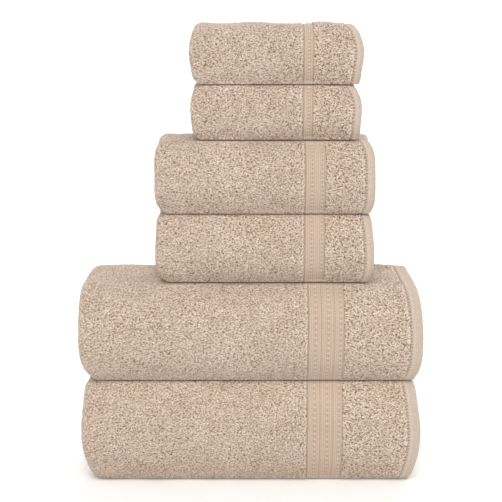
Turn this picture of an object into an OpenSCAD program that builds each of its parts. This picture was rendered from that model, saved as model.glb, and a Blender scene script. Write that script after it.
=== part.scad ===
// Stack of six rolled terry towels: two bath towels, two hand towels, two washcloths.
// Each towel is folded along its length, then rolled across its width into a flattened log.
// X runs along the logs, -Y is the front of the stack, +Z is up.
// The origin is the middle of the footprint, on the surface that the stack stands on.

/* [Cloth] */
// Thickness of one layer of terry as it lies in a roll
layer_t = 5.7; // [3:0.1:7]
// Free space between one turn of a roll and the next
turn_gap = 0.4; // [0.2:0.1:1]
// How far the flat dobby border lies below the tops of the pile
border_recess = 1.4; // [0:0.1:2]
// How far the plain end hem lies below the tops of the pile
hem_recess = 0.8; // [0:0.1:2]
// Width and depth of a run of sewing thread
thread_t = 0.8; // [0.4:0.1:1.2]

/* [Stack] */
// Free space between one towel and the towel under it
contact_gap = 0.3; // [0.1:0.1:1]
// How square a roll's free section is: 2 is an ellipse
roll_power = 2.5; // [2:0.1:4]
// How much a roll is pressed flat where it is loaded, as a share of its free height
press = 0.28; // [0.05:0.01:0.35]
// How much its crown is pressed flat where no towel of the same size lies on it
crown_press = 0.08; // [0.02:0.01:0.2]

/* [Bath towels] */
// Width of a rolled bath towel, a quarter of its cloth's length
bath_w = 350; // [320:1:380]
// Depth of a rolled bath towel, front to back
bath_d = 142; // [120:1:170]
// Height of the lower bath towel
bath_lower_h = 111; // [95:0.5:130]
// Height of the upper bath towel
bath_upper_h = 100.5; // [90:0.5:130]
// Layers that its rolled strip is folded into
bath_layers = 4; // [3:1:4]
// Width of its dobby border
bath_border_w = 36.5; // [20:0.5:45]
// Distance from its end to its dobby border
bath_panel_w = 79.5; // [50:0.5:110]
// Width of its end hem
bath_hem_w = 12; // [8:1:18]

/* [Hand towels] */
// Width of a rolled hand towel, a third of its cloth's length
hand_w = 222; // [200:1:240]
// Depth of a rolled hand towel
hand_d = 100; // [85:1:120]
// Height of the lower hand towel
hand_lower_h = 71.5; // [60:0.5:85]
// Height of the upper hand towel
hand_upper_h = 73; // [60:0.5:85]
// Layers that its rolled strip is folded into
hand_layers = 3; // [2:1:3]
// Width of its dobby border
hand_border_w = 20.5; // [14:0.5:28]
// Distance from its end to its dobby border
hand_panel_w = 50; // [35:1:60]
// Width of its end hem
hand_hem_w = 9; // [6:1:12]
// How far the hand towels lie right of the middle of the stack
hand_shift = 14.5; // [-30:0.5:30]

/* [Washcloths] */
// Width of a rolled washcloth, half of its cloth's length
wash_w = 171.5; // [150:0.5:185]
// Depth of a rolled washcloth
wash_d = 70.5; // [60:0.5:85]
// Height of the lower washcloth
wash_lower_h = 55; // [50:1:70]
// Height of the upper washcloth
wash_upper_h = 58; // [50:1:70]
// Layers that its rolled strip is folded into
wash_layers = 2; // [2:1:3]
// Width of its dobby border
wash_border_w = 10; // [7:0.5:14]
// Distance from its end to its dobby border
wash_panel_w = 48.5; // [35:0.5:55]
// Width of its end hem
wash_hem_w = 8; // [6:1:10]
// How far the washcloths lie right of the middle of the stack
wash_shift = 25.5; // [-30:0.5:30]

/* [Hidden] */
// Points of one turn of a roll are this many degrees apart
turn_step = 6;
// The free edge of the cloth lies at the bottom of the roll, towards the back
free_edge_at = -60;
// Over the last part of each turn the cloth dives under the turn outside it
dive_from = 330;
// The side hem takes the first degrees of the outer turn, and its thread the next ones
side_hem_deg = 10;
side_thread_deg = 1.5;
// Steps in the rounding of a roll's two ends
end_steps = 16;
// Power of the curve that rounds the ends
end_power = 2.2;
// Least half-height of the slit that is left in the middle of a roll
core_slit = 0.7;
// Thread lies this far under the face of the cloth
thread_sink = 0.1;
// A roll's section overshoots its pressed flats by this much before it is cut
cut_over = 0.2;

PILE = [0.80, 0.71, 0.64];
BORDER = [0.82, 0.73, 0.67];
HEM = [0.84, 0.76, 0.70];
THREAD = [0.72, 0.62, 0.54];

// A kind of towel: width, depth, layers, border width, panel width, hem width, shift along X
BATH = [bath_w, bath_d, bath_layers, bath_border_w, bath_panel_w, bath_hem_w, 0];
HAND = [hand_w, hand_d, hand_layers, hand_border_w, hand_panel_w, hand_hem_w, hand_shift];
WASH = [wash_w, wash_d, wash_layers, wash_border_w, wash_panel_w, wash_hem_w, wash_shift];

function kind_w(k) = k[0];
function kind_d(k) = k[1];
function strip_t(k) = k[2] * layer_t;
function border_w(k) = k[3];
function panel_w(k) = k[4];
function hem_w(k) = k[5];
function shift_x(k) = k[6];

// Heights at which the six towels lie, each on the one below
bath_upper_z = bath_lower_h + contact_gap;
hand_lower_z = bath_upper_z + bath_upper_h + contact_gap;
hand_upper_z = hand_lower_z + hand_lower_h + contact_gap;
wash_lower_z = hand_upper_z + hand_upper_h + contact_gap;
wash_upper_z = wash_lower_z + wash_lower_h + contact_gap;

// A towel: its name, kind, height, the height that it lies at, how much its top is pressed,
// and how far its right and left ends draw in at the top and at the bottom
TOWELS = [
    ["bath_lower", BATH, bath_lower_h, 0, press, [10, 12], [9, 15]],
    ["bath_upper", BATH, bath_upper_h, bath_upper_z, crown_press, [10, 7], [3, 10]],
    ["hand_lower", HAND, hand_lower_h, hand_lower_z, press, [8, 7], [5, 9]],
    ["hand_upper", HAND, hand_upper_h, hand_upper_z, crown_press, [9, 8], [6, 10]],
    ["wash_lower", WASH, wash_lower_h, wash_lower_z, press, [14, 6], [10, 12]],
    ["wash_upper", WASH, wash_upper_h, wash_upper_z, crown_press, [14, 6], [10, 11]]
];
PIECES = ["main_pile", "dobby_border", "end_pile", "end_hem", "side_hem", "inner_roll",
          "hem_thread"];

// Point of a rounded section at an angle, as shares of its half-sizes
function section_share(angle) =
    let (c = cos(angle), s = sin(angle))
    [sign(c) * pow(abs(c), 2 / roll_power), sign(s) * pow(abs(s), 2 / roll_power)];

// Depth of the strip's outer face under the roll's outer face, turn degrees from the free edge
function turn_inset(turn, pitch) =
    let (whole = floor(turn / 360), part = turn - 360 * whole)
    let (dive = max(0, part - dive_from) / (360 - dive_from))
    pitch * (whole + (1 - cos(180 * dive)) / 2);

// Point on a face of a towel's rolled strip, depth under the strip's outer face. The turns
// inside follow the pressed outer one, and close to a slit in the middle.
function strip_point(towel, turn, depth) =
    let (k = towel[1], share = section_share(free_edge_at - turn), flat = towel[2] / 2)
    let (free_z = flat * (1 + (share[1] > 0 ? towel[4] : press)) * abs(share[1]))
    let (inset = min(turn_inset(turn, strip_t(k)) + depth, flat - core_slit))
    let (face_z = sign(share[1]) * min(free_z, flat + cut_over))
    [(kind_d(k) / 2 - inset) * share[0], face_z * (flat - inset) / flat];

// Section of the rolled strip between two turns, from one depth under its outer face to another
function strip_section(towel, from, to, top, bottom) =
    let (turns = [from, for (a = [ceil(from / turn_step + 0.01) : ceil(to / turn_step - 0.01) - 1])
                  a * turn_step, to])
    concat([for (a = turns) strip_point(towel, a, top)],
           [for (i = [len(turns) - 1 : -1 : 0]) strip_point(towel, turns[i], bottom)]);

// How far an end draws in at height share u, which runs from -1 at the bottom to 1 at the top
function end_inset(u, draws) =
    (u > 0 ? draws[0] : draws[1]) * (1 - pow(1 - pow(abs(u), end_power), 1 / end_power));

// X of a line round the roll, inset from its right end (side 1) or left end (side -1)
function end_x(towel, side, u, inset, bow) =
    let (draws = side > 0 ? towel[5] : towel[6])
    side * (kind_w(towel[1]) / 2 - inset - bow * end_inset(u, draws));

// Front outline of a stretch of the roll between a left and a right line.
// A line is [side, inset from that side's end, share of the end's own curve that it follows].
function stretch_outline(towel, left, right) =
    let (h = towel[2])
    concat([for (i = [0 : end_steps]) let (u = 2 * i / end_steps - 1)
            [end_x(towel, right[0], u, right[1], right[2]), h / 2 * (1 + u)]],
           [for (i = [end_steps : -1 : 0]) let (u = 2 * i / end_steps - 1)
            [end_x(towel, left[0], u, left[1], left[2]), h / 2 * (1 + u)]]);

// A length of rolled strip: its section run along X and cut to its front outline
module rolled(towel, from, to, top, bottom, left, right) {
    k = towel[1];
    h = towel[2];
    translate([shift_x(k), 0, towel[3]])
        intersection() {
            translate([-kind_w(k) / 2 - 1, 0, h / 2])
                rotate([90, 0, 90])
                    linear_extrude(kind_w(k) + 2)
                        polygon(strip_section(towel, from, to, top, bottom));
            rotate([90, 0, 0])
                linear_extrude(kind_d(k) + 10, center = true)
                    polygon(stretch_outline(towel, left, right));
        }
}

// The outer turn of a towel between two lines, with its face recessed by some depth
module outer_turn(towel, recess, left, right) {
    rolled(towel, side_hem_deg + side_thread_deg, 360, recess, strip_t(towel[1]) - turn_gap,
           left, right);
}

// Lines round the roll where one zone of the cloth ends and the next starts
function fold_line() = [-1, 0, 1];
function border_line_a(k) = [1, panel_w(k) + border_w(k), 0];
function border_line_b(k) = [1, panel_w(k), 0];
function thread_line(k) = [1, hem_w(k) + thread_t, 1];
function hem_line(k) = [1, hem_w(k), 1];
function end_line() = [1, 0, 1];

// The long field of looped pile, from the folds at the left to the border
module main_pile(towel) {
    color(PILE) outer_turn(towel, 0, fold_line(), border_line_a(towel[1]));
}

// The flat woven band with its columns of raised dots
module dobby_border(towel) {
    color(BORDER)
        outer_turn(towel, border_recess, border_line_a(towel[1]), border_line_b(towel[1]));
}

// The short panel of pile between the border and the hem
module end_pile(towel) {
    color(PILE) outer_turn(towel, 0, border_line_b(towel[1]), thread_line(towel[1]));
}

// The plain hem that closes the end of the cloth
module end_hem(towel) {
    color(HEM) outer_turn(towel, hem_recess, hem_line(towel[1]), end_line());
}

// The narrow hem of the long edge, at the free edge of the roll
module side_hem(towel) {
    color(HEM)
        rolled(towel, 0, side_hem_deg, 0, strip_t(towel[1]) - turn_gap, fold_line(), end_line());
}

// The turns inside the outer one
module inner_roll(towel) {
    color(PILE)
        rolled(towel, 360, 720 + dive_from, 0, strip_t(towel[1]) - turn_gap, fold_line(),
               end_line());
}

// The sewing threads of the end hem and of the side hem
module hem_thread(towel) {
    color(THREAD) {
        outer_thread_from = side_hem_deg + side_thread_deg;
        rolled(towel, outer_thread_from, 360, thread_sink, thread_t, thread_line(towel[1]),
               hem_line(towel[1]));
        rolled(towel, side_hem_deg, outer_thread_from, thread_sink, thread_t, fold_line(),
               end_line());
    }
}

module piece(towel, name) {
    if (name == "main_pile") main_pile(towel);
    if (name == "dobby_border") dobby_border(towel);
    if (name == "end_pile") end_pile(towel);
    if (name == "end_hem") end_hem(towel);
    if (name == "side_hem") side_hem(towel);
    if (name == "inner_roll") inner_roll(towel);
    if (name == "hem_thread") hem_thread(towel);
}

for (towel = TOWELS)
    for (name = PIECES)
        piece(towel, name);
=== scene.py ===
import math

import bpy
import numpy as np
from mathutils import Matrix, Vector


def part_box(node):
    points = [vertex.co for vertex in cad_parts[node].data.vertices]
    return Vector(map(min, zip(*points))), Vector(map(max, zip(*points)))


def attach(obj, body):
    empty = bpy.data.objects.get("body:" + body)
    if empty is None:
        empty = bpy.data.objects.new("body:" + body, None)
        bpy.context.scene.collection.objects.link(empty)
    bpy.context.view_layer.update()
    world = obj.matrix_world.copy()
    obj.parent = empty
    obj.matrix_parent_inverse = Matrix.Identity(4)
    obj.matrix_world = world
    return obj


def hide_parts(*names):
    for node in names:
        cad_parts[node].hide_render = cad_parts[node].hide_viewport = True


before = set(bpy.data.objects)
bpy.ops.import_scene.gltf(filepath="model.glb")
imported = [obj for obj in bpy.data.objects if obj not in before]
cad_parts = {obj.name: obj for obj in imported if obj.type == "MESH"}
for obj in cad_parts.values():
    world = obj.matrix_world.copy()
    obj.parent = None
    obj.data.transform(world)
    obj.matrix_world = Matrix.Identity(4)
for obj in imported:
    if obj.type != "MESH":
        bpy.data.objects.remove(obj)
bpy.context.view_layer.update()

MM = 0.001

# How a roll is wound, as in the CAD part
LAYER = 5.7  # thickness of one layer of terry in a roll
ROLL_POWER = 2.5  # power of a roll's free section
PRESS = 0.28  # share of its height by which a loaded roll is pressed flat
CROWN_PRESS = 0.08  # and its top where no towel of the same size lies on it
FREE_EDGE = -60.0  # where the free edge lies, degrees from the back
DIVE_FROM = 330.0  # from here to 360 a turn dives under the one outside it
CORE_SLIT = 0.7  # least half height that is left for the core
END_POWER = 2.2  # power of the curve by which a roll's ends draw in
THREAD = 0.8  # width of a run of sewing thread
CLOTH_SHOWS = (362, 376)  # turns between which the skins end and the cloth itself comes out
SKIN_END = 374  # turn at which the skins end, just under the free edge

# How thick the pieces of cloth are
PILE_BASE = 1.2  # mean depth of the pile's surface under the roll's face
BORDER_BASE = 2.1  # the same for the dobby border
HEM_BASE = 1.5  # and for the hems
PRESSED_BASE = 0.2  # and for any face where it is pressed against a neighbour
SKIN = 2.0  # thickness of the pile, border and hem over the ground cloth
GROUND_TOP = 3.3  # depth of the ground cloth's face under the pile
HALF_LAYER = 2.55  # half of one layer, less the gap to the next
HEM_HALF = (LAYER - HEM_BASE) / 2 - 0.05  # half the thickness of a turned hem
SIDE_HEM = 10.0  # width of the hem along the long edges

# Each kind of towel: the width and length of its cloth; the order in which its folds fill the
# layers, from the face in; the columns of dots and holes as shares of the border's width, the
# pitch and half-sizes of a dot; the step of the pile's mesh; the share by which a free top rises
KINDS = {
    "bath": dict(
        cloth=(686, 1372), order=(0, 3, 2, 1),
        dot_columns=(0.21, 0.56, 0.90), hole_columns=(0.37, 0.72), dot_pitch=5.8, dot=(1.6, 1.25),
        grid=1.05, free_rise=0.018),
    "hand": dict(
        cloth=(406, 660), order=(0, 2, 1),
        dot_columns=(0.35, 0.84), hole_columns=(), dot_pitch=4.6, dot=(1.4, 1.05),
        grid=0.9, free_rise=0.018),
    "wash": dict(
        cloth=(330, 330), order=(0, 1),
        dot_columns=(0.57,), hole_columns=(), dot_pitch=3.8, dot=(1.4, 0.9),
        grid=0.8, free_rise=0.015),
}
# How far each towel's right and left ends draw in at the top and at the bottom
DRAWS = {
    "bath_lower": ((10, 12), (9, 15)),
    "bath_upper": ((10, 7), (3, 10)),
    "hand_lower": ((8, 7), (5, 9)),
    "hand_upper": ((9, 8), (6, 10)),
    "wash_lower": ((14, 6), (10, 12)),
    "wash_upper": ((14, 6), (10, 11)),
}
TOWELS = list(DRAWS)


def smooth(x, low, high):
    """0 below low, 1 above high, and a smooth step between."""
    t = np.clip((x - low) / (high - low), 0, 1)
    return t * t * (3 - 2 * t)


def soft_min(a, b, k):
    """The lesser of a and b, rounded where they are within k of each other."""
    h = np.clip(0.5 + 0.5 * (b - a) / k, 0, 1)
    return b + (a - b) * h - k * h * (1 - h)


# ---- the relief of the looped pile

SHADES = 256  # a cell of the tile packs the height of its topmost loop and that loop's shade
HEIGHT_STEPS = 4096  # steps of height to the millimetre
HEIGHT_FLOOR = 8  # added to a height so that it is never negative


class LoopTile:
    """Height and lightness of a square of terry: thousands of short curled loops laid over each
    other.
    The lightness is mostly painted shade, darker where the loops lie low and in the bare gaps between
    them, mixed with a random shade of each loop. The square wraps round, so it is sampled at any
    place."""

    def __init__(self, size, cell, density, radius, yarn, lift, seed):
        self.cell = cell
        n = int(size / cell)
        best = self.lay_loops(n, int(size * size * density), size, radius, yarn, lift, seed)
        bare = best == 0
        height = (best // SHADES) / HEIGHT_STEPS - HEIGHT_FLOOR
        low = np.percentile(height[~bare], 3)
        height[bare] = low - 0.35
        height = np.maximum(height, low - 0.35)
        middle, spread = np.median(height), np.percentile(height, 97) - low
        shade = np.where(bare, 0.3, (best % SHADES) / (SHADES - 1))
        level = np.clip((height - low) / spread, -0.2, 1.1)
        self.height = self.softened(((height - middle) / spread).reshape(n, n))
        # painted shade: the tone follows the height, so low loops and bare gaps are darker
        self.tone = self.softened((0.72 * level + 0.28 * shade).reshape(n, n))

    def lay_loops(self, n, count, size, radius, yarn, lift, seed):
        """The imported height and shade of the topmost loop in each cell, 0 where there is none."""
        cell = self.cell
        rng = np.random.default_rng(seed)
        cx, cy = rng.uniform(0, size, (2, count))
        facing = rng.uniform(0, 2 * np.pi, count)
        bend = rng.uniform(radius[0], radius[1], count)
        span = rng.uniform(1.0, 2.6, count)
        thick = yarn * rng.uniform(0.8, 1.2, count)
        base = rng.normal(0, 0.28, count)
        tilt = rng.uniform(-0.35, 0.35, count)
        shade = rng.integers(0, SHADES, count)
        best = np.zeros(n * n, np.int64)
        reach = int(math.ceil((radius[1] + yarn * 1.2) / cell)) + 1
        ix, iy = np.floor(cx / cell).astype(int), np.floor(cy / cell).astype(int)
        for i in range(-reach, reach + 1):
            for j in range(-reach, reach + 1):
                dx, dy = (ix + i + 0.5) * cell - cx, (iy + j + 0.5) * cell - cy
                turn = np.arctan2(dy, dx) - facing
                turn = (turn + np.pi) % (2 * np.pi) - np.pi
                near = np.clip(turn, -span, span)
                off = np.hypot(dx - bend * np.cos(facing + near), dy - bend * np.sin(facing + near))
                on = off < thick
                arch = lift * (1 - 0.8 * (near / span) ** 2) + tilt * near
                height = base + arch + np.sqrt(np.maximum(thick**2 - off**2, 0))
                code = ((height + HEIGHT_FLOOR) * HEIGHT_STEPS).astype(np.int64) * SHADES + shade
                cells = ((ix + i) % n) * n + (iy + j) % n
                np.maximum.at(best, cells[on], code[on])
        return best

    def softened(self, m):
        """The mean of each cell and three of its neighbours."""
        return (m + np.roll(m, 1, 0) + np.roll(m, 1, 1) + np.roll(m, (1, 1), (0, 1))) / 4

    def sample(self, which, u, v):
        """Height or tone at any place, blended between cells."""
        m = getattr(self, which)
        n = len(m)
        x, y = (u / self.cell) % n, (v / self.cell) % n
        i, j = np.floor(x).astype(int), np.floor(y).astype(int)
        fx, fy = x - i, y - j
        i, j = i % n, j % n
        i1, j1 = (i + 1) % n, (j + 1) % n
        return ((m[i, j] * (1 - fy) + m[i, j1] * fy) * (1 - fx)
                + (m[i1, j] * (1 - fy) + m[i1, j1] * fy) * fx)


FIELD = LoopTile(280, 0.45, 0.80, (0.5, 1.1), 0.50, 0.6, seed=11)
PANEL = LoopTile(200, 0.5, 0.50, (0.7, 1.4), 0.62, 0.8, seed=12)


# ---- where the cloth lies

def box_mm(name, piece):
    """The low and high corners of one of a towel's CAD nodes, in millimetres."""
    low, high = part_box(name + "_" + piece)
    return np.array(low) / MM, np.array(high) / MM


class Roll:
    """One towel, folded and rolled: it says where each point of the cloth lies."""

    def __init__(self, name, seed):
        kind = KINDS[name.split("_")[0]]
        main_low, main_high = box_mm(name, "main_pile")
        border_low, border_high = box_mm(name, "dobby_border")
        self.name, self.kind = name, kind
        self.left, self.right = main_low[0], box_mm(name, "end_hem")[1][0]
        self.border_from, self.border_to = border_low[0], border_high[0]
        self.hem_from = box_mm(name, "end_pile")[1][0] + THREAD
        self.half_y = (main_high[1] - main_low[1]) / 2
        self.half_h = (main_high[2] - main_low[2]) / 2
        self.mid = np.array([0, (main_high[1] + main_low[1]) / 2, (main_high[2] + main_low[2]) / 2])
        self.crown_press = PRESS if name.endswith("lower") else CROWN_PRESS
        self.layers = len(kind["order"])
        self.strip = self.layers * LAYER
        self.fade = self.right - self.border_to  # the draw of an end fades out over this length
        self.above = None
        rng = np.random.default_rng(seed)
        self.seed = seed
        self.offset = rng.uniform(0, 300, 2)
        self.waves = [(rng.uniform(0.35, 1.0), rng.uniform(1 / 150, 1 / 50), rng.integers(0, 4),
                       rng.uniform(0, 6.28)) for _ in range(7)]
        self.edge_waves = [(rng.uniform(0.3, 1.0), rng.integers(1, 9), rng.uniform(0, 6.28))
                           for _ in range(6)]
        self.turns = np.arange(0, 3 * 360, 0.1)
        self.along = self.arc(self.strip / 2)

    def inset(self, turn):
        """Depth of the strip's outer face under the roll's face."""
        whole = np.floor(turn / 360)
        dive = np.clip((turn - 360 * whole - DIVE_FROM) / (360 - DIVE_FROM), 0, 1)
        return self.strip * (whole + (1 - np.cos(np.pi * dive)) / 2)

    def arc(self, depth):
        """Length along the strip at a depth, for each of self.turns."""
        p = self.place(np.zeros_like(self.turns), self.turns, depth, plain=True)
        step = np.linalg.norm(np.diff(p[..., 1:], axis=0), axis=1)
        return np.concatenate([[0], np.cumsum(step)])

    def turn_at(self, length):
        """Turn at a length along the middle of the strip, from the free edge."""
        return np.interp(length, self.along, self.turns)

    def covered(self, x, y):
        """1 where the towel above presses on this one, 0 where the top is free."""
        up = self.above
        if up is None:
            return np.zeros(np.broadcast(x, y).shape)
        flat = 0.7 * up.half_y
        return (smooth(x, up.left - 4, up.left + 14) * (1 - smooth(x, up.right - 14, up.right + 4))
                * (1 - smooth(np.abs(y - up.mid[1]), flat, flat + 16)))

    def lump(self, x, turn):
        """Slow unevenness of the face, in millimetres."""
        total = sum(a * np.sin(2 * np.pi * (x * f + turn / 360 * m) + p)
                    for a, f, m, p in self.waves)
        return 0.42 * total

    def edge_wave(self, turn):
        """Unevenness of the roll's ends, in millimetres."""
        return 0.45 * sum(a * np.sin(np.radians(turn * m) + p) for a, m, p in self.edge_waves)

    def section(self, turn):
        """Point of the rounded section at a turn, as shares of its half-sizes."""
        angle = np.radians(FREE_EDGE - turn)
        c, s = np.cos(angle), np.sin(angle)
        power = 2 / ROLL_POWER
        return np.sign(c) * np.abs(c) ** power, np.sign(s) * np.abs(s) ** power

    def free_half(self, up):
        """Half the height of the free section, above or below its middle."""
        return self.half_h * (1 + np.where(up > 0, self.crown_press, PRESS))

    def place(self, x, turn, depth, plain=False):
        """Where the cloth lies at x, turn and depth."""
        inset = self.inset(turn)
        room = self.half_h - CORE_SLIT - inset
        deep = inset + depth * np.clip(room / self.strip, 0.05, 1)
        across, up = self.section(turn)
        y = (self.half_y - deep) * across
        free = 0 if plain else 1 - self.covered(x, y)
        top = self.half_h * (1 + self.kind["free_rise"] * free)
        limit = np.where(up > 0, top, self.half_h)
        face = soft_min(self.free_half(up) * np.abs(up), limit, 0.02 * self.half_h)
        z = np.sign(up) * face * (self.half_h - deep) / self.half_h
        if plain:
            return np.stack(np.broadcast_arrays(x, y, z), -1)
        contact = self.contact(x, y, up)
        lump = self.lump(x, turn) * (1 - contact) * (1 - smooth(inset, 0, 3))
        y = y + lump * across
        z = z + lump * up * np.where(up > 0, free, 0)
        u = np.clip(z / self.half_h, -1, 1)
        curve = 1 - (1 - np.abs(u) ** END_POWER) ** (1 / END_POWER)
        right, left = [np.where(u > 0, top, foot) * curve for top, foot in DRAWS[self.name]]
        at_left = 1 - smooth(x, self.left, self.left + self.fade)
        at_right = smooth(x, self.right - self.fade, self.right)
        wave = self.edge_wave(turn)
        x = x + (left + wave * 0.8) * at_left - (right + wave) * at_right
        out = np.stack(np.broadcast_arrays(x, y, z), -1)
        return out + self.mid

    def contact(self, x, y, up):
        """1 where the face is pressed against a neighbour, 0 where it is free."""
        face = self.free_half(up) * np.abs(up)
        near = smooth(face, self.half_h * 0.92, self.half_h * 0.99)
        return near * np.where(up > 0, self.covered(x, y), 1.0)

    def contact_at(self, x, turn):
        """The same, from a turn."""
        across, up = self.section(turn)
        return self.contact(x, self.half_y * across, up)


def outward(roll, points):
    """Directions from the roll's axis to points."""
    return (points - roll.mid) * [0, 1, 1]


ROLLS = {name: Roll(name, seed=100 + i) for i, name in enumerate(TOWELS)}
for lower, upper in zip(TOWELS, TOWELS[1:]):
    ROLLS[lower].above = ROLLS[upper]


# ---- meshes from grids

def mesh_object(name, points, faces, materials, attributes, face_materials=None):
    """A smooth-shaded mesh object from points in millimetres and lists of faces."""
    loops = np.concatenate([f.ravel() for f in faces])
    sizes = np.concatenate([np.full(len(f), f.shape[1]) for f in faces])
    starts = np.concatenate([[0], np.cumsum(sizes)[:-1]])
    mesh = bpy.data.meshes.new(name)
    mesh.vertices.add(len(points))
    mesh.vertices.foreach_set("co", (points * MM).astype(np.float32).ravel())
    mesh.loops.add(len(loops))
    mesh.loops.foreach_set("vertex_index", loops.astype(np.int32))
    mesh.polygons.add(len(sizes))
    mesh.polygons.foreach_set("loop_start", starts.astype(np.int32))
    mesh.polygons.foreach_set("use_smooth", np.ones(len(sizes), bool))
    if face_materials is not None:
        mesh.polygons.foreach_set("material_index", face_materials.astype(np.int32))
    mesh.update(calc_edges=True)
    for key, values in attributes.items():
        kind, field = ("FLOAT", "value") if values.ndim == 1 else ("FLOAT_VECTOR", "vector")
        data = mesh.attributes.new(key, kind, "POINT").data
        data.foreach_set(field, values.astype(np.float32).ravel())
    for m in materials:
        mesh.materials.append(m)
    obj = bpy.data.objects.new(name, mesh)
    bpy.context.scene.collection.objects.link(obj)
    return obj


def unit(v):
    """Vectors brought to a length of one."""
    return v / np.maximum(np.linalg.norm(v, axis=-1, keepdims=True), 1e-9)


def grid_normals(p):
    return unit(np.cross(np.gradient(p, axis=0), np.gradient(p, axis=1)))


def loop_normals(p):
    """Normals of a grid whose first axis closes on itself."""
    return unit(np.cross(np.roll(p, -1, 0) - np.roll(p, 1, 0), np.gradient(p, axis=1)))


def points_inward(roll, normals, base, at):
    """Whether the normals of a grid point into the roll, judged at one of its points."""
    return np.dot(normals[at], outward(roll, base[at])) < 0


def grid_faces(index):
    """The quads of a grid of point numbers."""
    a, b, c, d = index[:-1, :-1], index[1:, :-1], index[1:, 1:], index[:-1, 1:]
    return np.stack([a, b, c, d], -1).reshape(-1, 4)


COARSE = 4  # the hidden underside of a skin has one step for this many of its face


def counted(length, step):
    """Number of points for a stretch, one more than a multiple of COARSE."""
    return COARSE * max(1, round(length / step / COARSE)) + 1


def rim_triangles(edge, low, way):
    """Triangles between a fine edge of a skin's face and the coarse edge under it."""
    tris, half = [], COARSE // 2
    for k in range(len(low) - 1):
        i = k * COARSE
        fan = [(low[k], edge[i + j + 1], edge[i + j]) for j in range(half)]
        fan.append((low[k], low[k + 1], edge[i + half]))
        fan += [(low[k + 1], edge[i + j + 1], edge[i + j]) for j in range(half, COARSE)]
        tris += fan if way > 0 else [t[::-1] for t in fan]
    return tris


def skin_mesh(name, base, rise, thickness, material, attributes):
    """A closed skin: a fine face at base plus rise along its normal, a coarse underside and rims
    that join the two."""
    normal = grid_normals(base)
    top = base + normal * rise[..., None]
    under = (base - normal * thickness)[::COARSE, ::COARSE]
    nu, nv = base.shape[:2]
    mu, mv = under.shape[:2]
    fine = np.arange(nu * nv).reshape(nu, nv)
    coarse = nu * nv + np.arange(mu * mv).reshape(mu, mv)
    rims = ((fine[:, 0], coarse[:, 0], 1), (fine[:, -1], coarse[:, -1], -1),
            (fine[0, :], coarse[0, :], -1), (fine[-1, :], coarse[-1, :], 1))
    tris = [t for rim in rims for t in rim_triangles(*rim)]
    points = np.concatenate([top.reshape(-1, 3), under.reshape(-1, 3)])
    full = {}
    for key, values in attributes.items():
        rest = values[::COARSE, ::COARSE]
        shape = (-1,) if values.ndim == 2 else (-1, values.shape[-1])
        full[key] = np.concatenate([values.reshape(shape), rest.reshape(shape)])
    faces = [grid_faces(fine), grid_faces(coarse)[:, ::-1], np.array(tris)]
    return mesh_object(name, points, faces, [material], full)


# ---- materials

def new_material(name):
    m = bpy.data.materials.new(name)
    m.use_nodes = True
    m.node_tree.nodes.clear()
    return m


class Nodes:
    """Short calls for building a node tree."""

    def __init__(self, material):
        self.tree = material.node_tree

    def add(self, kind, inputs=None, **settings):
        node = self.tree.nodes.new(kind)
        for key, value in settings.items():
            setattr(node, key, value)
        for key, value in (inputs or {}).items():
            if isinstance(value, bpy.types.NodeSocket):
                self.tree.links.new(value, node.inputs[key])
            else:
                node.inputs[key].default_value = value
        return node

    def math(self, operation, a, b=0.5):
        return self.add("ShaderNodeMath", {0: a, 1: b}, operation=operation).outputs[0]

    def vector(self, operation, a, b):
        node = self.add("ShaderNodeVectorMath", {0: a, 1: b}, operation=operation)
        return node.outputs["Value" if operation == "DOT_PRODUCT" else "Vector"]

    def scaled(self, a, scale):
        node = self.add("ShaderNodeVectorMath", {0: a, "Scale": scale}, operation="SCALE")
        return node.outputs["Vector"]

    def attribute(self, name, output):
        return self.add("ShaderNodeAttribute", attribute_name=name).outputs[output]

    def noise(self, place, scale, detail, output="Fac"):
        node = self.add("ShaderNodeTexNoise", {"Vector": place, "Scale": scale, "Detail": detail},
                        noise_dimensions="2D")
        return node.outputs[output]

    def swing(self, value, amount):
        """A value from 0 to 1, moved to swing by amount about 0."""
        return self.math("MULTIPLY", self.math("SUBTRACT", value, 0.5), amount)

    def ramp(self, fac, stops):
        node = self.add("ShaderNodeValToRGB", {"Fac": fac})
        elements = node.color_ramp.elements
        while len(elements) < len(stops):
            elements.new(0.5)
        for element, (at, colour) in zip(elements, stops):
            element.position = at
            element.color = (*colour, 1)
        return node.outputs["Color"]


def linear(r, g, b):
    """A colour given in display values from 0 to 255."""
    return tuple((c / 255 / 12.92) if c / 255 <= 0.04045 else ((c / 255 + 0.055) / 1.055) ** 2.4
                 for c in (r, g, b))


# The ramps' dark end is painted shade for low yarn and holes; their light end is painted light on
# raised yarn.
CREVICE_SHADE = linear(128, 101, 79)  # painted shade between the loops
LOW = linear(180, 157, 138)
MIDDLE = linear(213, 194, 177)
LIT_TIP = linear(238, 223, 209)  # painted light on the tops of the loops
HEM_LOW = linear(190, 171, 155)
HEM_MIDDLE = linear(216, 200, 186)
YARN_LONG, YARN_WIDE = 0.75, 0.24  # half-sizes of a length of yarn, in cells


def cotton(m, n, colour, height, strength, distance, roughness, sheen):
    """Finish a cotton material from its colour and the height of its yarn."""
    bump = n.add("ShaderNodeBump", {"Height": height, "Strength": strength, "Distance": distance})
    shader = n.add("ShaderNodeBsdfPrincipled", {
        "Base Color": colour, "Roughness": roughness, "Normal": bump.outputs["Normal"],
        "Specular IOR Level": 0.2, "Sheen Weight": sheen, "Sheen Roughness": 0.5})
    n.add("ShaderNodeOutputMaterial", {"Surface": shader.outputs["BSDF"]})
    return m


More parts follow.
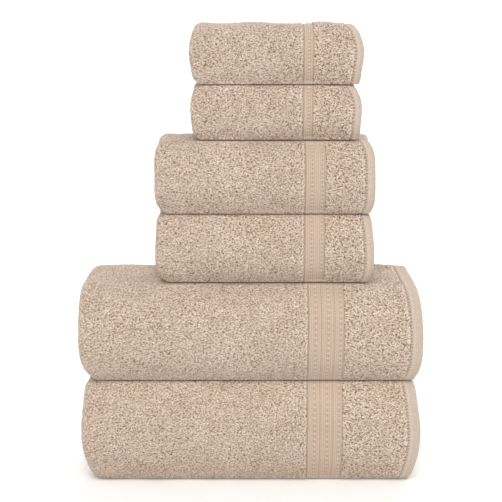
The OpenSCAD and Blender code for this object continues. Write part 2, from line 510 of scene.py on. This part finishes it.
def yarn_layer(n, place, flow, seed):
    """Short bent lengths of yarn, one to a cell: their height and their own shade. The seed shifts
    the cells."""
    p = n.vector("ADD", place, (17.37 * seed + 3.1, 41.61 * seed + 7.7, 0))
    cell = n.add("ShaderNodeTexVoronoi", {"Vector": p, "Scale": 1.0, "Randomness": 0.9},
                 voronoi_dimensions="2D")
    chance = n.add("ShaderNodeSeparateColor", {"Color": cell.outputs["Color"]}).outputs
    away = n.vector("SUBTRACT", p, cell.outputs["Position"])
    angle = n.math("ADD", n.math("MULTIPLY", chance["Red"], math.pi * 0.75), flow)
    c, s = n.math("COSINE", angle), n.math("SINE", angle)
    along = n.vector("DOT_PRODUCT", away, n.add("ShaderNodeCombineXYZ", {"X": c, "Y": s}).outputs[0])
    side = n.add("ShaderNodeCombineXYZ", {"X": n.math("MULTIPLY", s, -1.0), "Y": c}).outputs[0]
    across = n.vector("DOT_PRODUCT", away, side)
    square = n.math("MULTIPLY", along, along)
    bend = n.math("MULTIPLY", n.swing(chance["Green"], 1.4), square)
    across = n.math("ADD", across, bend)
    wide = n.math("DIVIDE", n.math("MULTIPLY", across, across), YARN_WIDE**2)
    long = n.math("DIVIDE", square, YARN_LONG**2)
    inside = n.math("SUBTRACT", n.math("SUBTRACT", 1.0, long), wide)
    round_top = n.math("SQRT", n.math("MAXIMUM", inside, 0.0))
    lift = n.math("ADD", n.math("MULTIPLY", chance["Blue"], 0.35), 0.65)
    height = n.math("MULTIPLY", round_top, lift)
    # the yarn's shade is a random value scaled by its height, so low yarn is painted darker
    return height, n.math("MULTIPLY", height, chance["Red"])


def yarn_cover(n, place, flow):
    """Height and shade of three layers of yarn, each point showing the one on top."""
    height, shade = yarn_layer(n, place, flow, 0)
    for seed in (1, 2):
        next_height, next_shade = yarn_layer(n, place, flow, seed)
        on_top = n.math("GREATER_THAN", next_height, height)
        shade = n.add("ShaderNodeMix", {0: on_top, 2: shade, 3: next_shade}).outputs[0]
        height = n.math("MAXIMUM", height, next_height)
    return height, shade


def pile_material(name, cell, contrast):
    """Looped cotton pile: layers of short bent yarns over each other, with painted shade between them
    and painted light on their tops. A cell of yarn has a size in millimetres."""
    m = new_material(name)
    n = Nodes(m)
    weave = n.attribute("weave", "Vector")
    tone = n.attribute("tone", "Fac")
    drift = n.noise(weave, 0.35, 1.0, "Color")
    drift = n.scaled(n.vector("SUBTRACT", drift, (0.5, 0.5, 0.5)), 1.6)
    place = n.scaled(n.vector("ADD", weave, drift), 1 / cell)
    flow = n.math("MULTIPLY", n.noise(weave, 0.11, 0.0), math.pi)
    height, shade = yarn_cover(n, place, flow)
    # painted light and shade: the higher the yarn, the lighter its colour
    value = n.math("ADD", n.math("MULTIPLY", height, 0.7), n.math("MULTIPLY", shade, 0.3))
    value = n.math("ADD", value, n.swing(tone, 0.3))
    value = n.math("ADD", value, n.swing(n.noise(weave, 2.2, 2.0), 0.25))
    lean = n.math("ADD", n.swing(n.noise(weave, 0.04, 2.0), 0.9), contrast)
    value = n.math("ADD", n.math("MULTIPLY", n.math("SUBTRACT", value, 0.6), lean), 0.6)
    value = n.math("ADD", value, n.swing(n.noise(weave, 0.03, 2.0), 0.20))
    colour = n.ramp(value, [(0.0, CREVICE_SHADE), (0.35, LOW), (0.7, MIDDLE), (1.0, LIT_TIP)])
    return cotton(m, n, colour, height, 0.6, 0.0006, 0.95, 0.2)


def flat_weave_material(name, warp, weft, slubs, roughness, low, middle):
    """Flat woven cotton: warp and weft threads at their pitches, in millimetres, and how strongly
    thick and thin places in the yarn show."""
    m = new_material(name)
    n = Nodes(m)
    weave = n.attribute("weave", "Vector")
    tone = n.attribute("tone", "Fac")
    place = n.add("ShaderNodeSeparateXYZ", {"Vector": weave})
    a = n.math("SINE", n.math("MULTIPLY", place.outputs["X"], 2 * math.pi / warp))
    b = n.math("SINE", n.math("MULTIPLY", place.outputs["Y"], 2 * math.pi / weft))
    thread = n.math("MULTIPLY", a, b)
    fibre = n.noise(weave, 2.4, 2.0)
    slub = n.noise(n.vector("MULTIPLY", weave, (1.0, 0.5, 1.0)), 0.9, 2.0)
    # the tone attribute carries the relief's painted light and shade
    value = n.math("ADD", tone, n.swing(fibre, 0.3))
    value = n.math("ADD", value, n.swing(slub, slubs))
    value = n.math("ADD", value, n.math("MULTIPLY", thread, 0.05))
    value = n.math("ADD", value, n.swing(n.noise(weave, 0.03, 2.0), 0.10))
    colour = n.ramp(value, [(0.0, CREVICE_SHADE), (0.35, low), (0.7, middle), (1.0, LIT_TIP)])
    height = n.math("ADD", n.math("MULTIPLY", thread, 0.5), fibre)
    return cotton(m, n, colour, height, 0.5, 0.00025, roughness, 0.2)


def thread_material():
    """Spun sewing thread."""
    m = new_material("sewing_thread")
    n = Nodes(m)
    fibre = n.noise(n.attribute("weave", "Vector"), 3.0, 2.0)
    value = n.math("ADD", n.attribute("tone", "Fac"), n.swing(fibre, 0.2))
    colour = n.ramp(value, [(0.0, CREVICE_SHADE), (0.5, LOW), (1.0, MIDDLE)])
    return cotton(m, n, colour, fibre, 0.4, 0.0002, 0.7, 0.1)


PILE = pile_material("terry_pile", 2.0, 1.15)
PANEL_PILE = pile_material("terry_pile_long", 2.3, 1.15)
BORDER = flat_weave_material("dobby_weave", 1.0, 0.9, 0.18, 0.8, LOW, MIDDLE)
HEM = flat_weave_material("hem_weave", 1.1, 1.1, 0.5, 0.85, HEM_LOW, HEM_MIDDLE)
STITCH = thread_material()


# ---- the skins of the outer turn

def outer_stations(roll, start, stop, step):
    """Turns at even steps along the roll's face, and the length of face at each."""
    face = roll.arc(PILE_BASE)
    a, b = np.interp([start, stop], roll.turns, face)
    lengths = np.linspace(a, b, counted(b - a, step))
    return np.interp(lengths, face, roll.turns), lengths


def straight_path(start, stop, depth, step):
    """Even steps along x at one depth."""
    n = counted(abs(stop - start), step)
    return np.linspace(start, stop, n), np.full(n, float(depth))


def fold_path(start, fold, stop, way, base, radius, points, step):
    """Even steps in the plane of x and depth: along x at depth base from start to the fold, round
    the fold, and back on its other side to stop."""
    sweep = np.linspace(0, np.pi, points)
    bow = np.stack([fold + way * radius * np.sin(sweep), base + radius * (1 - np.cos(sweep))], -1)
    far = base + 2 * radius
    pts = np.concatenate([[[start, base], [fold, base]], bow, [[fold, far], [stop, far]]])
    gap = np.linalg.norm(np.diff(pts, axis=0), axis=1)
    along = np.concatenate([[0], np.cumsum(gap)])
    keep = np.concatenate([[True], gap > 1e-6])
    at = np.linspace(0, along[-1], counted(along[-1], step))
    return np.interp(at, along[keep], pts[keep, 0]), np.interp(at, along[keep], pts[keep, 1])


def weave_map(u, v):
    """Places on the cloth for its materials, from two lengths in millimetres."""
    return np.stack(np.broadcast_arrays(u, v, 0.0), -1)


def path_length(x, depth):
    """Length along a path at each of its points."""
    return np.concatenate([[0], np.cumsum(np.hypot(np.diff(x), np.diff(depth)))])


def build_skin(roll, piece, x, depth, turns, lengths, height, material):
    """A zone of the outer turn. height(s, v, x) gives its relief and tone on the grid, from the
    length along its path, the length round the roll and x."""
    s = path_length(x, depth)
    base = roll.place(x[:, None], turns[None, :], depth[:, None])
    flip = points_inward(roll, grid_normals(base), base, (len(x) // 3, len(turns) // 2))
    contact = roll.contact_at(x[:, None], turns[None, :]) * np.ones_like(base[..., 0])
    rise, tone = height(s[:, None], lengths[None, :], x[:, None])
    outer = (1 - smooth(depth, depth[0], depth[0] + 1.5))[:, None]
    rise = rise * (1 - 0.8 * contact) + (depth[0] - PRESSED_BASE) * contact * outer
    attributes = {"tone": tone * np.ones_like(contact),
                  "weave": weave_map(s[:, None], lengths[None, :])}
    if flip:
        base, rise = base[:, ::-1], rise[:, ::-1]
        attributes = {k: v[:, ::-1] for k, v in attributes.items()}
    return skin_mesh(roll.name + "_" + piece, base, rise, SKIN, material, attributes)


STITCH_PITCH, STITCH_LONG, STITCH_THICK = 3.4, 2.3, 0.95
STITCH_DEPTH = 1.75  # of a stitch's middle, under the roll's face


def skin_turns(roll, step):
    """Stations of the outer turn, from the side hem to just under the free edge."""
    return outer_stations(roll, roll.turn_at(SIDE_HEM), SKIN_END, step)


def stitch_lengths(roll):
    """Lengths along the roll's face of the end hem's stitches, from the face's start, and the
    length of face at each of the roll's turns."""
    face = roll.arc(PILE_BASE)
    a, b = np.interp([roll.turn_at(SIDE_HEM + 1), SKIN_END - 2], roll.turns, face)
    return np.linspace(a, b, round((b - a) / STITCH_PITCH) + 1), face


def bell(x, at, width):
    """1 at a place and falling away on both sides of it."""
    return np.exp(-np.minimum(((x - at) / width) ** 2, 60))


def pile_relief(roll, tile, amount, edges):
    """Relief of looped pile. At an edge (where it is, which way the pile lies from it, how strong
    its ridge is and how far it drops) the loops stand up in a ridge and the cloth drops away; the
    ridge is painted lighter and the drop painted with shade."""
    def height(s, v, x):
        u0, v0 = roll.offset
        bumps = tile.sample("height", s + u0, v + v0)
        tone = tile.sample("tone", s + u0, v + v0)
        rise, extra = bumps * amount, 0
        for at, side, strength, fall in edges:
            d = (at - x) * side
            ridge = bell(d, 1.7, 1.3) * strength
            drop = (1 - smooth(d, 0.0, 1.1)) * fall
            rise = rise * (1 - 0.35 * ridge) + 0.55 * ridge - 1.4 * drop
            # painted light on the ridge and painted shade where the cloth drops away
            extra = extra + 0.45 * ridge - 0.45 * drop
        return rise, np.clip(tone + extra, 0, 1)
    return height


def main_pile(roll):
    """The main field of pile, which goes round the fold at the left end and a little way back."""
    radius = roll.strip / 2
    fold = roll.left + radius
    x, depth = fold_path(roll.border_from, fold, fold + 9, -1, PILE_BASE, radius - PILE_BASE, 60,
                         roll.kind["grid"])
    turns, lengths = skin_turns(roll, roll.kind["grid"])
    relief = pile_relief(roll, FIELD, 0.95, [(roll.border_from, 1, 1.1, 0.7)])

    def height(s, v, x_):
        inner = smooth(depth[:, None], roll.strip * 0.75, roll.strip - PILE_BASE)
        rise, tone = relief(s, v, np.where(depth[:, None] < radius, x_, roll.left))
        return rise * (1 - 0.6 * inner) - 0.6 * inner, tone
    return build_skin(roll, "pile_field", x, depth, turns, lengths, height, PILE)


def end_pile(roll):
    """The narrow panel of longer pile between the border and the end hem."""
    x, depth = straight_path(roll.border_to, roll.hem_from - THREAD, PILE_BASE, roll.kind["grid"])
    turns, lengths = skin_turns(roll, roll.kind["grid"])
    edges = [(roll.hem_from - THREAD, 1, 1.0, 0.3), (roll.border_to, -1, 0.2, 0.35)]
    relief = pile_relief(roll, PANEL, 1.25, edges)
    return build_skin(roll, "pile_panel", x, depth, turns, lengths, relief, PANEL_PILE)


RIB_PITCH = 2.0
HOLE_PITCH = 3.0
HOLE = (0.7, 0.75)  # half-sizes of a pierced hole


def border_relief(kind, width):
    """Fine ribs, columns of raised dots and columns of pierced holes, with painted light on the ribs
    and dots and painted shade round the dots, in the holes and at the band's edges.
    """
    dot_x, dot_y = kind["dot"]

    def height(s, v, x_):
        ribs = np.cos(2 * np.pi * s / RIB_PITCH) + 0 * v
        # painted light on the tops of the ribs
        rise, tone = 0.14 * ribs, 0.49 + 0.10 * ribs
        edge = np.minimum(s, width - s)
        rise = rise - 0.5 * (1 - smooth(edge, 0.0, 1.0))
        # painted shade where the band drops at its edges
        tone = tone - 0.14 * (1 - smooth(s, 0.3, 1.9)) - 0.03 * (1 - smooth(width - s, 0.3, 1.4))
        for column in kind["dot_columns"]:
            across = (s - column * width) / dot_x
            row = (v % kind["dot_pitch"]) - kind["dot_pitch"] / 2
            dot = np.clip(1 - across**2 - (row / dot_y) ** 2, 0, 1) ** 0.5
            near = bell(across, 0, 1) * (1 - smooth(dot, 0, 0.2))
            # painted light on the dots, painted shade in the ring round each
            rise = rise + 0.75 * dot - 0.22 * near
            tone = tone + 0.17 * dot - 0.11 * near
        for column in kind["hole_columns"]:
            groove = bell(s, column * width, HOLE[0])
            hole = groove * bell(v % HOLE_PITCH, HOLE_PITCH / 2, HOLE[1])
            # painted shade in the holes and their grooves
            rise = rise - 0.4 * hole - 0.05 * groove
            tone = tone - 0.26 * hole - 0.03 * groove
        return rise, np.clip(tone, 0, 1)
    return height


def dobby_border(roll):
    """The flat woven border."""
    x, depth = straight_path(roll.border_from, roll.border_to, BORDER_BASE, 0.5)
    turns, lengths = skin_turns(roll, 0.7)
    relief = border_relief(roll.kind, roll.border_to - roll.border_from)
    return build_skin(roll, "border_band", x, depth, turns, lengths, relief, BORDER)


def end_hem(roll):
    """The hem at the right end, with a needle hole for each stitch of its seam, painted with shade in
    the holes and the groove and with light on its fold and puckers.
    """
    x, depth = fold_path(roll.hem_from - THREAD, roll.right - HEM_HALF, roll.hem_from, 1, HEM_BASE,
                         HEM_HALF, 30, 0.5)
    turns, lengths = skin_turns(roll, 0.7)
    at, face = stitch_lengths(roll)
    gap = at[1] - at[0]

    def height(s, v, x_):
        between = 0.5 - 0.5 * np.cos(2 * np.pi * (v - at[0]) / gap)
        hole = between**2 * bell(s, 1.0, 0.8)
        groove = bell(s, 0.8, 1.1)
        fold = bell(s, 3.6, 1.5) + 0 * v
        pull = np.exp(-s / 4) * np.sin(v * 2 * np.pi / 6.9 + 2 * np.sin(v / 31))
        rise = 0.12 * pull + 0.3 * fold - 0.25 * groove - 0.6 * hole
        # painted light on the fold and puckers, painted shade in the groove and needle holes
        tone = 0.40 + 0.08 * fold + 0.03 * pull - 0.02 * groove - 0.36 * hole
        return rise, np.clip(tone, 0, 1)
    return build_skin(roll, "hem_band", x, depth, turns, lengths, height, HEM)


def side_hem(roll):
    """The hem of the long edge, round the free edge of the strip's outermost layer."""
    length, depth = fold_path(SIDE_HEM, HEM_HALF, SIDE_HEM, -1, HEM_BASE, HEM_HALF, 24, 0.9)
    x = np.linspace(roll.left + 4, roll.right - 1, counted(roll.right - roll.left - 5, 1.2))
    turns = roll.turn_at(length)
    base = roll.place(x[:, None], turns[None, :], depth[None, :])
    s = path_length(length, depth)
    seam = 1 - smooth(s[None, :], 0, 1.4)
    rise = 0.1 * np.sin(x[:, None] / 1.3) * np.sin(x[:, None] / 17) * np.exp(-s[None, :] / 20)
    rise = rise - 0.5 * seam
    # painted shade in the groove along the seam
    tone = 0.62 - 0.4 * seam + 0 * x[:, None]
    weave = weave_map(x[:, None], s[None, :])
    if points_inward(roll, grid_normals(base), base, (len(x) // 2, 1)):
        base, rise, tone, weave = base[::-1], rise[::-1], tone[::-1], weave[::-1]
    return skin_mesh(roll.name + "_edge_hem", base, rise, SKIN * 0.8, HEM,
                     {"tone": tone, "weave": weave})


# ---- the folded and rolled cloth

END_ZONE = 14.0  # this much of each layer, from its end, is modelled finely
CAP = 5  # points round each end of the folded cloth
EDGE_ROUND = 2.2  # how far in from its long edges the cloth is rounded
TAIL_ROWS = 14  # rows of the second layer that the pile's tail lies over


def fine_steps(start, stop, fine):
    """Places along a straight layer: fine steps near its two ends, coarse between."""
    length = abs(stop - start)
    zone = min(END_ZONE, length / 2)
    near = np.arange(fine, zone, fine)
    coarse = np.linspace(zone, length - zone, max(2, round((length - 2 * zone) / 24)))
    marks = np.unique(np.round(np.concatenate([[0.0, length], near, length - near, coarse]), 4))
    return start + (stop - start) * marks / length


def folded_path(roll, fine):
    """Middle line of the folded cloth in the plane of x and depth, from one end to the other.
    Each row is x, depth, the direction of the line, and 1 on the first layer and first fold."""
    order = roll.kind["order"]
    depths = [(k + 0.5) * LAYER for k in order]
    biggest = abs(depths[1] - depths[0]) / 2
    left_centre = roll.left + biggest + HALF_LAYER + 0.5
    right_folds = [abs(depths[i + 1] - depths[i]) / 2 for i in range(1, len(order) - 1, 2)]
    right_centre = roll.right - 3.0 - (max(right_folds) + HALF_LAYER if right_folds else 0)
    rows = []
    for i, d in enumerate(depths):
        leftward = i % 2 == 0
        last = i == len(depths) - 1
        if leftward:
            start = roll.right - 3.2 if i == 0 else right_centre
            stop = left_centre + (4 if last else 0)
        else:
            start = left_centre
            stop = roll.right - 4.5 if last else right_centre
        for x in fine_steps(start, stop, fine):
            rows.append((x, d, -1.0 if leftward else 1.0, 0.0, 1.0 if i == 0 else 0.0))
        if last:
            break
        radius, middle = (depths[i + 1] - d) / 2, (depths[i + 1] + d) / 2
        centre = stop
        bulge = -1 if leftward else 1
        count = max(5, round(abs(radius) * math.pi / fine))
        for a in np.linspace(0, np.pi, count)[1:-1]:
            rows.append((centre + bulge * abs(radius) * math.sin(a), middle - radius * math.cos(a),
                         bulge * math.cos(a), math.sin(a) * np.sign(radius),
                         1.0 if i == 0 else 0.0))
    return np.array(rows)


def cloth_stations(width, fine):
    """Places across the cloth's width, close together at its long edges."""
    close = np.array([0.0, 0.5, 1.2, EDGE_ROUND])
    return np.concatenate([close, np.arange(3.4, width - 3, fine), width - close[::-1]])


def under_skins(roll, path):
    """1 on the rows of the path that the skins of the outer turn lie over: the first layer and
    fold, and the start of the second layer under the pile's tail."""
    x, outer = path[:, 0], path[:, 4]
    tail = 1 - smooth(np.abs(x - roll.left), 14, 24)
    rank = np.arange(len(x)) - np.argmax(outer < 0.5)
    second = np.where((rank >= 0) & (rank < TAIL_ROWS), tail, 0)
    return np.maximum(outer, second)


def end_cap(row, over, below, forward):
    """Points round one end of the folded cloth, from its over side to its other side."""
    x, depth, dx, dd = row[:4]
    middle, half = (over - below) / 2, (over + below) / 2
    angles = np.linspace(0, np.pi, CAP + 2)[1:-1, None]
    along = forward * half * np.sin(angles)
    across = middle + half * np.cos(angles)
    return x + dx * along - dd * across, depth + dd * along + dx * across


def cloth_loop(path, hidden, near_edge):
    """The closed outline of the folded cloth at each station: its over side, round one end, back
    along its other side and round the other end. Where it is hidden it is thinned."""
    x, depth, dx, dd = path.T[:4, :, None]
    rim = 0.35 + 0.65 * np.sqrt(1 - (1 - np.clip(near_edge / EDGE_ROUND, 0, 1)) ** 2)
    over = (HALF_LAYER * (1 - hidden) + (LAYER / 2 - GROUND_TOP) * hidden) * rim
    below = HALF_LAYER * rim + 0 * hidden
    tip = end_cap(path[-1], over[-1], below[-1], 1)
    root = end_cap(path[0], over[0], below[0], -1)
    loop_x = [x - dd * over, tip[0], (x + dd * below)[::-1], root[0][::-1]]
    loop_d = [depth + dx * over, tip[1], (depth - dx * below)[::-1], root[1][::-1]]
    return np.concatenate(loop_x), np.concatenate(loop_d)


def drawn_in(roll, loop_x, loop_d, turns, shown):
    """The outline with the inner turns drawn in at both ends, each turn a little further."""
    wander = 0.9 * np.sin(turns / 57 + loop_d / LAYER * 2.1 + roll.seed)
    draw = (wander + 0.5 + 1.2 * np.floor(turns / 360)) * shown
    near_right = smooth(loop_x, roll.right - 30, roll.right - 4)
    near_left = 1 - smooth(loop_x, roll.left + 4, roll.left + 30)
    return loop_x - draw * near_right + draw * near_left


def cloth_faces(rows, is_hem, side_zone, way):
    """Faces of the closed sheet, and which are hem: its two sides and ends as one loop of quads,
    then strips and tips that close it along its long edges."""
    index = np.arange(len(is_hem) * len(side_zone)).reshape(len(is_hem), len(side_zone))
    hem_rows = is_hem & np.roll(is_hem, -1)
    hem_columns = side_zone[:-1] & side_zone[1:]
    over = np.arange(rows)
    below = rows + CAP + over[::-1]
    strips, tips = [], []
    for column, order in ((index[:, 0], 1), (index[:, -1], -1)):
        strip = np.stack([column[over[:-1]], column[over[1:]], column[below[1:]],
                          column[below[:-1]]], -1)
        strips.append(strip[:, ::-way * order])
        tip = column[rows - 1:rows + CAP + 1]
        root = np.append(column[2 * rows + CAP - 1:], column[0])
        tips += [tip[::-way * order], root[::-way * order]]
    quads = grid_faces(np.concatenate([index, index[:1]]))[:, ::way]
    closing = sum(len(strip) for strip in strips) + len(tips)
    hem = np.concatenate([(hem_rows[:, None] | hem_columns).ravel(), np.ones(closing, bool)])
    return [quads, *strips, np.array(tips)], hem.astype(int)


def cloth_lengths(path):
    """Length along the cloth at each point of its outline, and a shift that sets the pile of the
    other side and the ends apart."""
    ground = path_length(path[:, 0], path[:, 1])
    rounding = np.linspace(0, 5, CAP)
    arc = np.concatenate([ground, np.full(CAP, ground[-1]), ground[::-1], np.zeros(CAP)])
    shift = np.concatenate([0 * ground, rounding, 0 * ground + 71.0, rounding])
    return arc, shift


def inner_cloth(roll):
    """The whole cloth as one sheet, folded and rolled. Under the skins of the outer turn it is
    thinned to its ground."""
    fine = 1.5 if roll.layers == 4 else 1.2
    width = roll.kind["cloth"][0]
    path = folded_path(roll, fine)
    stations = cloth_stations(width, fine)
    turns = roll.turn_at(stations)
    shown = smooth(turns, *CLOTH_SHOWS)
    near_edge = np.minimum(stations, width - stations)
    hidden = under_skins(roll, path)[:, None] * (1 - shown)
    loop_x, loop_d = cloth_loop(path, hidden, near_edge)
    loop_x = drawn_in(roll, loop_x, loop_d, turns, shown)
    base = roll.place(loop_x, turns + 0 * loop_x, loop_d)
    normal = loop_normals(base)
    way = -1 if points_inward(roll, normal, base, (len(path) // 5, len(turns) // 3)) else 1

    arc, shift = cloth_lengths(path)
    is_hem = np.minimum(arc, arc.max() - arc) < roll.right - roll.hem_from
    side_zone = near_edge < SIDE_HEM
    plain = is_hem[:, None] | side_zone
    end_near = np.minimum(np.abs(loop_x - roll.left), np.abs(roll.right - loop_x))
    in_sight = (1 - smooth(end_near, END_ZONE * 0.6, END_ZONE + 4)) * (0.25 + 0.75 * shown)
    u, v = (arc + shift)[:, None] + roll.offset[0], stations + roll.offset[1]
    # the tile's tone is painted shade, darker where its loops lie low
    bumps, tone = FIELD.sample("height", u, v), FIELD.sample("tone", u, v)
    base = base + way * normal * (bumps * np.where(plain, 0.12, 0.85) * in_sight)[..., None]
    tone = np.where(plain, 0.62 + 0.2 * (tone - 0.5), tone)
    weave = weave_map(u, v).reshape(-1, 3)
    faces, face_materials = cloth_faces(len(path), is_hem, side_zone, way)
    return mesh_object(roll.name + "_cloth", base.reshape(-1, 3), faces, [PILE, HEM],
                       {"tone": np.clip(tone, 0, 1).ravel(), "weave": weave}, face_materials)


# ---- stitches

STITCH_SIDES = 8
SEAM_STEP = 0.5  # how far along and beside a stitch the cloth's directions are taken


def end_seam(roll):
    """Stitches of the end hem, round the outer turn: places and directions along and beside."""
    lengths, face = stitch_lengths(roll)
    turns = np.interp(lengths, face, roll.turns)
    x = roll.hem_from + 0.1
    step = np.gradient(turns, lengths) * SEAM_STEP
    centre = roll.place(x, turns, STITCH_DEPTH)
    return (centre, roll.place(x, turns + step, STITCH_DEPTH) - centre,
            roll.place(x + SEAM_STEP, turns, STITCH_DEPTH) - centre)


def side_seam(roll):
    """Stitches of the side hem, along the log: the same."""
    x = np.arange(roll.left + 8, roll.right - 3, STITCH_PITCH)
    seam = SIDE_HEM + 0.6
    turn = roll.turn_at(seam) + 0 * x
    step = roll.turn_at(seam + SEAM_STEP) - turn[0]
    centre = roll.place(x, turn, STITCH_DEPTH)
    return (centre, roll.place(x + SEAM_STEP, turn, STITCH_DEPTH) - centre,
            roll.place(x, turn + step, STITCH_DEPTH) - centre)


def stitch_shape():
    """Points of one arched stitch: rings along it, from one pinched end to the other."""
    rings = [(-0.5, 0.0), (-0.42, 0.7), (-0.2, 1.0), (0.2, 1.0), (0.42, 0.7), (0.5, 0.0)]
    shape = []
    for place, wide in rings:
        arch = 0.35 * (1 - (2 * place) ** 2)
        for k in range(STITCH_SIDES):
            a = 2 * math.pi * k / STITCH_SIDES
            shape.append((place * STITCH_LONG, wide * math.cos(a) * STITCH_THICK / 2,
                          (wide * math.sin(a) * 0.5 + arch) * STITCH_THICK))
    return np.array(shape)


def stitch_mesh(roll):
    """Lockstitches of the end hem and of the side hem."""
    seams = zip(end_seam(roll), side_seam(roll))
    centre, ahead, beside = [np.concatenate(pair) for pair in seams]
    ahead = unit(ahead)
    normal = unit(np.cross(ahead, beside))
    normal = normal * np.sign((normal * outward(roll, centre)).sum(1, keepdims=True))
    beside = np.cross(normal, ahead)
    shape = stitch_shape()
    points = (centre[:, None] + shape[None, :, 0, None] * ahead[:, None]
              + shape[None, :, 1, None] * beside[:, None] + shape[None, :, 2, None] * normal[:, None])
    ring = np.arange(len(shape)).reshape(-1, STITCH_SIDES)
    quads = grid_faces(np.concatenate([ring, ring[:, :1]], 1))
    ends = np.array([ring[0][::-1], ring[-1]])
    first = (np.arange(len(centre)) * len(shape))[:, None, None]
    faces = [(quads[None] + first).reshape(-1, 4), (ends[None] + first).reshape(-1, STITCH_SIDES)]
    points = points.reshape(-1, 3)
    return mesh_object(roll.name + "_stitches", points, faces, [STITCH],
                       {"tone": np.full(len(points), 0.85), "weave": points.copy()})


# ---- the towels

def build_towel(name):
    """All pieces of one towel, on its body."""
    roll = ROLLS[name]
    made = {
        "main_pile": (main_pile(roll), "terry_pile"),
        "end_pile": (end_pile(roll), "terry_pile"),
        "dobby_border": (dobby_border(roll), "dobby_weave"),
        "end_hem": (end_hem(roll), "hem_weave"),
        "side_hem": (side_hem(roll), "hem_weave"),
        "inner_roll": (inner_cloth(roll), "terry_pile"),
        "hem_thread": (stitch_mesh(roll), "sewing_thread"),
    }
    for node, (piece, slot) in made.items():
        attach(piece, name)
        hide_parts(name + "_" + node)


for lower, name in zip([None] + TOWELS, TOWELS):
    build_towel(name)


# ---- floor, light and camera

def plain_material(name, colour, roughness):
    m = new_material(name)
    n = Nodes(m)
    shader = n.add("ShaderNodeBsdfPrincipled", {"Base Color": (*colour, 1), "Roughness": roughness})
    n.add("ShaderNodeOutputMaterial", {"Surface": shader.outputs["BSDF"]})
    return m


def sun_light(name, source, strength, softness, colour):
    """A light from far off, as from a wide soft panel in the direction of source."""
    light = bpy.data.lights.new(name, "SUN")
    light.energy = strength
    light.angle = math.radians(softness)
    light.color = colour
    obj = bpy.data.objects.new(name, light)
    obj.location = source
    obj.rotation_euler = Vector(source).to_track_quat("Z", "Y").to_euler()
    bpy.context.scene.collection.objects.link(obj)


def floor_plane():
    """A plain pale floor, far wider than the view."""
    mesh = bpy.data.meshes.new("floor")
    mesh.from_pydata([(-40, -40, 0), (40, -40, 0), (40, 40, 0), (-40, 40, 0)], [], [(0, 1, 2, 3)])
    floor = bpy.data.objects.new("floor", mesh)
    mesh.materials.append(plain_material("pale_floor", (0.97, 0.97, 0.97), 0.9))
    bpy.context.scene.collection.objects.link(floor)


def studio_world():
    """White light from all round, weaker from above than from near the horizon."""
    world = bpy.data.worlds.new("studio")
    world.use_nodes = True
    n = Nodes(world)
    background = world.node_tree.nodes["Background"]
    direction = n.add("ShaderNodeTexCoord").outputs["Generated"]
    height = n.add("ShaderNodeSeparateXYZ", {"Vector": direction}).outputs["Z"]
    dim = n.add("ShaderNodeMapRange", {
        "Value": height, "From Min": 0.05, "From Max": 0.25, "To Min": 0.94, "To Max": 0.58})
    world.node_tree.links.new(dim.outputs["Result"], background.inputs["Strength"])
    background.inputs["Color"].default_value = (1.0, 1.0, 1.0, 1)
    bpy.context.scene.world = world


def camera():
    """From the front, a little above the stack and looking down at its middle."""
    aside, back, height = 0.0014, 1.2, 0.5635
    focus_height = 0.2356
    cam = bpy.data.cameras.new("camera")
    cam.sensor_width = 36
    cam.lens = 85.3
    obj = bpy.data.objects.new("camera", cam)
    obj.location = (aside, -back, height)
    focus = Vector((aside, 0.0, focus_height))
    obj.rotation_euler = (focus - obj.location).to_track_quat("-Z", "Y").to_euler()
    bpy.context.scene.collection.objects.link(obj)
    bpy.context.scene.camera = obj


floor_plane()
studio_world()
sun_light("key", (-0.15, -1.0, 1.5), 1.75, 30, (1.0, 1.0, 0.99))
sun_light("front", (0.1, -1.0, 0.5), 0.15, 30, (1.0, 1.0, 1.0))
sun_light("back", (0.3, 1.0, 0.9), 1.0, 40, (1.0, 1.0, 1.0))
camera()
bpy.context.scene.view_settings.view_transform = "Standard"
